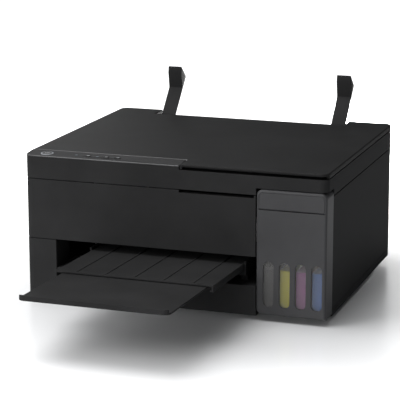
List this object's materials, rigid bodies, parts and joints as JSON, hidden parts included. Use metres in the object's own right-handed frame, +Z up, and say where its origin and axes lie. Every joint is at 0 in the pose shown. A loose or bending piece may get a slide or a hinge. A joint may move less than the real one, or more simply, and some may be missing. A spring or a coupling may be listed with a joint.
{
  "type": "inkjet printer",
  "caption": "Flatbed all-in-one inkjet printer with side ink tanks, lifting scanner lid, raised rear paper support and extended output tray.",
  "frame": {"origin": "on the table, under the centre of the case's 375 by 320 mm footprint", "axes": "+X to the printer's right seen from the front, +Y to its back, +Z up"},
  "size_m": [0.375, 0.5785, 0.2365],
  "materials": {
    "case_black": "fine moulded grain, satin",
    "panel_black": "smooth satin",
    "lid_black": "fine moulded grain, satin",
    "tank_grey": "smooth satin",
    "inner_black": "plain matte",
    "button_black": "satin",
    "light_white": "translucent light guide",
    "steel": "zinc plated sheet",
    "polished_steel": "ground bar",
    "screw_black": "black oxide",
    "rubber": "matte",
    "clear_plastic": "clear moulding",
    "bottle_plastic": "milky translucent moulding",
    "bed_glass": "float glass",
    "mat_white": "white backing foam",
    "ink_black": "liquid",
    "ink_yellow": "liquid",
    "ink_magenta": "liquid",
    "ink_cyan": "liquid",
    "cap_black": "matte",
    "cap_yellow": "matte",
    "cap_magenta": "matte",
    "cap_cyan": "matte",
    "board_green": "solder mask",
    "mech_grey": "moulded"
  },
  "bodies": {
    "base": {"base_pan": "case_black", "rubber_feet": "rubber", "left_side_cover": "case_black", "right_side_cover": "case_black", "rear_panel": "case_black", "front_cover": "case_black", "rear_feed_cover": "case_black", "rear_sockets": "inner_black", "case_screws": "screw_black", "exit_frame": "inner_black", "feed_plate": "inner_black", "chassis_frame": "steel", "carriage_shaft": "polished_steel", "carriage_belt": "rubber", "transport_belt": "rubber", "platen": "inner_black", "capping_station": "mech_grey", "waste_ink_box": "mech_grey", "drive_motors": "steel", "main_board": "board_green", "power_supply": "steel", "tank_housing": "tank_grey", "sight_windows": "clear_plastic", "ink_tanks": "bottle_plastic", "scanner_hinges": "case_black", "ink_black": "ink_black", "ink_yellow": "ink_yellow", "ink_magenta": "ink_magenta", "ink_cyan": "ink_cyan"},
    "scanner": {"scanner_base": "case_black", "scanner_bed": "case_black", "scanner_glass": "bed_glass", "scan_rail": "polished_steel", "control_panel": "panel_black", "panel_lights": "light_white", "lid_hinges": "case_black"},
    "lid": {"document_cover": "lid_black", "lid_mat": "mat_white"},
    "scan_bar": {"scan_bar": "inner_black"},
    "power_button": {"power_button": "button_black"},
    "wifi_button": {"wifi_button": "button_black"},
    "mono_copy_button": {"mono_copy_button": "button_black"},
    "colour_copy_button": {"colour_copy_button": "button_black"},
    "tank_cover": {"tank_cover": "tank_grey"},
    "cap_black": {"cap_black": "cap_black"},
    "cap_yellow": {"cap_yellow": "cap_yellow"},
    "cap_magenta": {"cap_magenta": "cap_magenta"},
    "cap_cyan": {"cap_cyan": "cap_cyan"},
    "support": {"paper_support": "case_black"},
    "guide_left": {"edge_guide_left": "inner_black"},
    "guide_right": {"edge_guide_right": "inner_black"},
    "tray": {"output_tray": "inner_black"},
    "tray_leaf": {"tray_extension": "inner_black"},
    "carriage": {"print_carriage": "inner_black", "print_head": "mech_grey"},
    "motor_pulley": {"motor_pulley": "mech_grey"},
    "idler_pulley": {"idler_pulley": "mech_grey"},
    "feed_roller": {"feed_roller": "mech_grey"},
    "eject_roller": {"eject_roller": "rubber"},
    "pickup_roller": {"pickup_roller": "rubber"}
  },
  "joints": [
    {"name": "scanner_lift", "type": "hinge", "parent": "base", "child": "scanner", "pos_m": [0, 0.1645, 0.149], "axis": [-1, 0, 0], "range_deg": [0, 30]},
    {"name": "lid_lift", "type": "hinge", "parent": "scanner", "child": "lid", "pos_m": [0, 0.1645, 0.1724], "axis": [-1, 0, 0], "range_deg": [0, 80]},
    {"name": "scan_travel", "type": "slide", "parent": "scanner", "child": "scan_bar", "axis": [1, 0, 0], "range_m": [0, 0.282]},
    {"name": "power_button_press", "type": "slide", "parent": "scanner", "child": "power_button", "axis": [0, 0, -1], "range_m": [0, 0.0008], "stiffness_N_per_m": 800},
    {"name": "wifi_button_press", "type": "slide", "parent": "scanner", "child": "wifi_button", "axis": [0, 0, -1], "range_m": [0, 0.0008], "stiffness_N_per_m": 800},
    {"name": "mono_copy_button_press", "type": "slide", "parent": "scanner", "child": "mono_copy_button", "axis": [0, 0, -1], "range_m": [0, 0.0008], "stiffness_N_per_m": 800},
    {"name": "colour_copy_button_press", "type": "slide", "parent": "scanner", "child": "colour_copy_button", "axis": [0, 0, -1], "range_m": [0, 0.0008], "stiffness_N_per_m": 800},
    {"name": "tank_cover_swing", "type": "hinge", "parent": "base", "child": "tank_cover", "pos_m": [0.14575, -0.1605, 0.1354], "axis": [1, 0, 0], "range_deg": [0, 90]},
    {"name": "cap_black_pull", "type": "slide", "parent": "base", "child": "cap_black", "axis": [0, 0, 1], "range_m": [0, 0.006]},
    {"name": "cap_yellow_pull", "type": "slide", "parent": "base", "child": "cap_yellow", "axis": [0, 0, 1], "range_m": [0, 0.006]},
    {"name": "cap_magenta_pull", "type": "slide", "parent": "base", "child": "cap_magenta", "axis": [0, 0, 1], "range_m": [0, 0.006]},
    {"name": "cap_cyan_pull", "type": "slide", "parent": "base", "child": "cap_cyan", "axis": [0, 0, 1], "range_m": [0, 0.006]},
    {"name": "support_slide", "type": "slide", "parent": "base", "child": "support", "axis": [0, -0.6691, -0.7431], "range_m": [0, 0.035]},
    {"name": "guide_left_slide", "type": "slide", "parent": "base", "child": "guide_left", "axis": [1, 0, 0], "range_m": [0, 0.055]},
    {"name": "guide_right_slide", "type": "slide", "parent": "base", "child": "guide_right", "axis": [-1, 0, 0], "range_m": [0, 0.055]},
    {"name": "tray_slide", "type": "slide", "parent": "base", "child": "tray", "axis": [0, 0.9994, -0.0349], "range_m": [0, 0.105]},
    {"name": "tray_leaf_slide", "type": "slide", "parent": "tray", "child": "tray_leaf", "axis": [0, 0.9994, -0.0349], "range_m": [0, 0.115]},
    {"name": "carriage_travel", "type": "slide", "parent": "base", "child": "carriage", "axis": [-1, 0, 0], "range_m": [0, 0.238]},
    {"name": "motor_pulley_spin", "type": "hinge", "parent": "base", "child": "motor_pulley", "pos_m": [-0.138, 0.0691, 0.126], "axis": [0, 1, 0], "continuous": true},
    {"name": "idler_pulley_spin", "type": "hinge", "parent": "base", "child": "idler_pulley", "pos_m": [0.158, 0.0691, 0.126], "axis": [0, 1, 0], "continuous": true},
    {"name": "feed_roller_spin", "type": "hinge", "parent": "base", "child": "feed_roller", "pos_m": [0, 0.06, 0.08], "axis": [1, 0, 0], "continuous": true},
    {"name": "eject_roller_spin", "type": "hinge", "parent": "base", "child": "eject_roller", "pos_m": [0, -0.008, 0.08], "axis": [1, 0, 0], "continuous": true},
    {"name": "pickup_roller_spin", "type": "hinge", "parent": "base", "child": "pickup_roller", "pos_m": [0, 0.08389, 0.12914], "axis": [1, 0, 0], "continuous": true}
  ],
  "couplings": [
    {"joint": "guide_right_slide", "follows": "guide_left_slide", "ratio": 1},
    {"joint": "motor_pulley_spin", "follows": "carriage_travel", "rad_per_m": 158.73},
    {"joint": "idler_pulley_spin", "follows": "carriage_travel", "rad_per_m": 158.73},
    {"joint": "eject_roller_spin", "follows": "feed_roller_spin", "ratio": 1}
  ]
}
